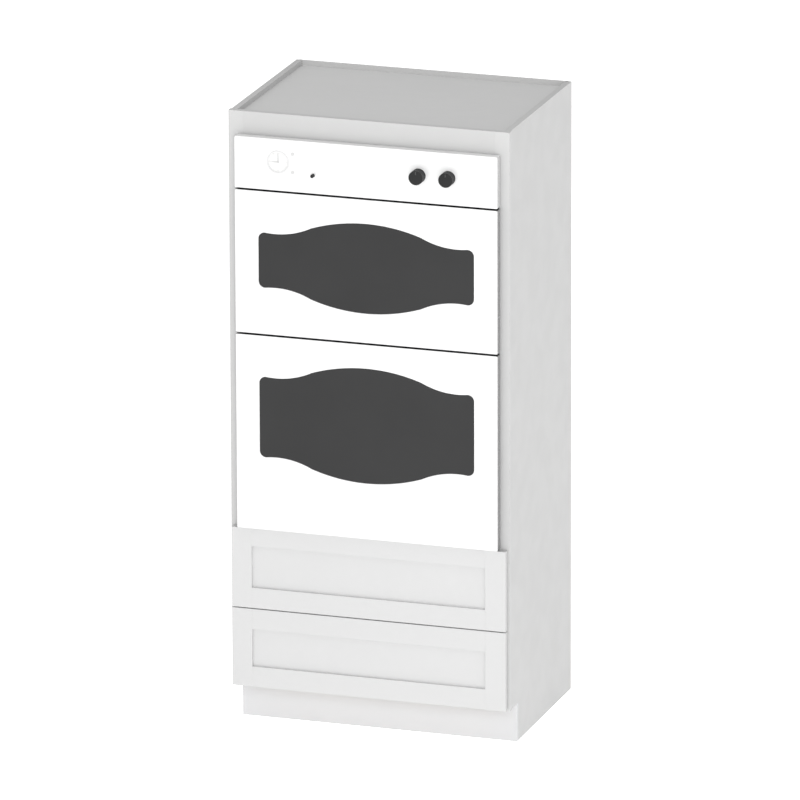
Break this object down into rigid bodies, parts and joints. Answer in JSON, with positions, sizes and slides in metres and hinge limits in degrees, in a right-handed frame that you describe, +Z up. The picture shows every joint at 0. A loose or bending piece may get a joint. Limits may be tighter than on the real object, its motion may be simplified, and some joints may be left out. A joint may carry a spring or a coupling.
{
  "type": "tall oven housing unit",
  "caption": "Tall framed kitchen cabinet housing a built-in double wall oven with drop-down doors over framed drawers, with turning knobs, push buttons and a clock.",
  "frame": {"origin": "centre of the unit's footprint on the floor, the depth taken from the knobs to the back panel", "axes": "+X to the unit's right seen from the front, +Y from front to back, +Z up"},
  "size_m": [0.8382, 0.654, 1.8288],
  "materials": {
    "cabinet_paint": "satin off-white paint",
    "tray_paint": "matt off-white paint",
    "front_paint": "satin white paint",
    "toe_paint": "satin white paint",
    "inner_board": "sealed board",
    "drawer_birch": "lacquered birch",
    "slide_steel": "zinc plated",
    "case_steel": "galvanised sheet",
    "trim_enamel": "satin black enamel",
    "screw_steel": "zinc plated",
    "cavity_enamel": "speckled vitreous enamel",
    "rack_chrome": "plated wire",
    "element_sheath": "heat darkened sheath",
    "lamp_glass": "clear",
    "gasket_rubber": "woven and coated",
    "hinge_steel": "zinc plated",
    "door_enamel": "gloss white enamel",
    "window_glass": "smoked, gloss",
    "liner_enamel": "gloss grey enamel",
    "inner_glass": "gloss",
    "board_green": "circuit board lacquer",
    "switch_plastic": "moulded",
    "knob_plastic": "satin charcoal",
    "button_white": "gloss",
    "dial_white": "satin white",
    "clock_glass": "clear",
    "hand_grey": "satin"
  },
  "bodies": {
    "housing": {"left_side_panel": "cabinet_paint", "right_side_panel": "cabinet_paint", "top_panel": "tray_paint", "floor_panel": "inner_board", "back_panel": "inner_board", "frame_stiles": "cabinet_paint", "frame_rails": "cabinet_paint", "toe_board": "toe_paint", "oven_platform": "inner_board", "inner_cleats": "inner_board", "back_nailers": "inner_board", "slide_outer": "slide_steel", "oven_case": "case_steel", "front_trim": "trim_enamel", "fixing_screws": "screw_steel", "lower_cavity": "cavity_enamel", "upper_cavity": "cavity_enamel", "oven_racks": "rack_chrome", "heating_elements": "element_sheath", "oven_lamps": "lamp_glass", "door_gaskets": "gasket_rubber", "hinge_brackets": "hinge_steel", "control_fascia": "door_enamel", "control_board": "board_green", "selector_switches": "switch_plastic", "clock_dial": "dial_white", "clock_lens": "clock_glass"},
    "lower_drawer": {"lower_drawer_stiles": "front_paint", "lower_drawer_rails": "front_paint", "lower_drawer_panel": "front_paint", "lower_drawer_sides": "drawer_birch", "lower_drawer_ends": "drawer_birch", "lower_drawer_bottom": "drawer_birch", "lower_slide_inner": "slide_steel"},
    "lower_slide_members": {"lower_slide_middle": "slide_steel"},
    "lower_door": {"lower_door_skin": "door_enamel", "lower_door_window": "window_glass", "lower_door_liner": "liner_enamel", "lower_door_glass": "inner_glass", "lower_door_hinges": "hinge_steel"},
    "upper_drawer": {"upper_drawer_stiles": "front_paint", "upper_drawer_rails": "front_paint", "upper_drawer_panel": "front_paint", "upper_drawer_sides": "drawer_birch", "upper_drawer_ends": "drawer_birch", "upper_drawer_bottom": "drawer_birch", "upper_slide_inner": "slide_steel"},
    "upper_slide_members": {"upper_slide_middle": "slide_steel"},
    "upper_door": {"upper_door_skin": "door_enamel", "upper_door_window": "window_glass", "upper_door_liner": "liner_enamel", "upper_door_glass": "inner_glass", "upper_door_hinges": "hinge_steel"},
    "function_selector": {"function_knob": "knob_plastic"},
    "temperature_selector": {"temperature_knob": "knob_plastic"},
    "timer_push": {"timer_button": "knob_plastic"},
    "clock_push_upper": {"clock_button_upper": "button_white"},
    "clock_push_lower": {"clock_button_lower": "button_white"},
    "hour_pointer": {"hour_hand": "hand_grey"},
    "minute_pointer": {"minute_hand": "hand_grey"}
  },
  "joints": [
    {"name": "lower_drawer_slide", "type": "slide", "parent": "housing", "child": "lower_drawer", "axis": [0, -1, 0], "range_m": [0, 0.508]},
    {"name": "lower_slide_member_travel", "type": "slide", "parent": "housing", "child": "lower_slide_members", "axis": [0, -1, 0], "range_m": [0, 0.254]},
    {"name": "upper_drawer_slide", "type": "slide", "parent": "housing", "child": "upper_drawer", "axis": [0, -1, 0], "range_m": [0, 0.508]},
    {"name": "upper_slide_member_travel", "type": "slide", "parent": "housing", "child": "upper_slide_members", "axis": [0, -1, 0], "range_m": [0, 0.254]},
    {"name": "lower_door_hinge", "type": "hinge", "parent": "housing", "child": "lower_door", "pos_m": [0, -0.2894, 0.6126], "axis": [1, 0, 0], "range_deg": [0, 90]},
    {"name": "upper_door_hinge", "type": "hinge", "parent": "housing", "child": "upper_door", "pos_m": [0, -0.2894, 1.1958], "axis": [1, 0, 0], "range_deg": [0, 90]},
    {"name": "function_knob_turn", "type": "hinge", "parent": "housing", "child": "function_selector", "pos_m": [0.1584, -0.3099, 1.6898], "axis": [0, 1, 0], "range_deg": [0, 315]},
    {"name": "temperature_knob_turn", "type": "hinge", "parent": "housing", "child": "temperature_selector", "pos_m": [0.2467, -0.3099, 1.6898], "axis": [0, 1, 0], "range_deg": [0, 290]},
    {"name": "timer_button_push", "type": "slide", "parent": "housing", "child": "timer_push", "axis": [0, 1, 0], "range_m": [0, 0.004], "stiffness_N_per_m": 250},
    {"name": "clock_button_upper_push", "type": "slide", "parent": "housing", "child": "clock_push_upper", "axis": [0, 1, 0], "range_m": [0, 0.0015], "stiffness_N_per_m": 300},
    {"name": "clock_button_lower_push", "type": "slide", "parent": "housing", "child": "clock_push_lower", "axis": [0, 1, 0], "range_m": [0, 0.0015], "stiffness_N_per_m": 300},
    {"name": "minute_hand_turn", "type": "hinge", "parent": "housing", "child": "minute_pointer", "pos_m": [-0.2617, -0.2964, 1.6946], "axis": [0, 1, 0], "continuous": true},
    {"name": "hour_hand_turn", "type": "hinge", "parent": "housing", "child": "hour_pointer", "pos_m": [-0.2617, -0.2964, 1.6946], "axis": [0, 1, 0], "continuous": true}
  ],
  "couplings": [
    {"joint": "lower_slide_member_travel", "follows": "lower_drawer_slide", "ratio": 0.5},
    {"joint": "upper_slide_member_travel", "follows": "upper_drawer_slide", "ratio": 0.5},
    {"joint": "hour_hand_turn", "follows": "minute_hand_turn", "ratio": 0.083333}
  ]
}
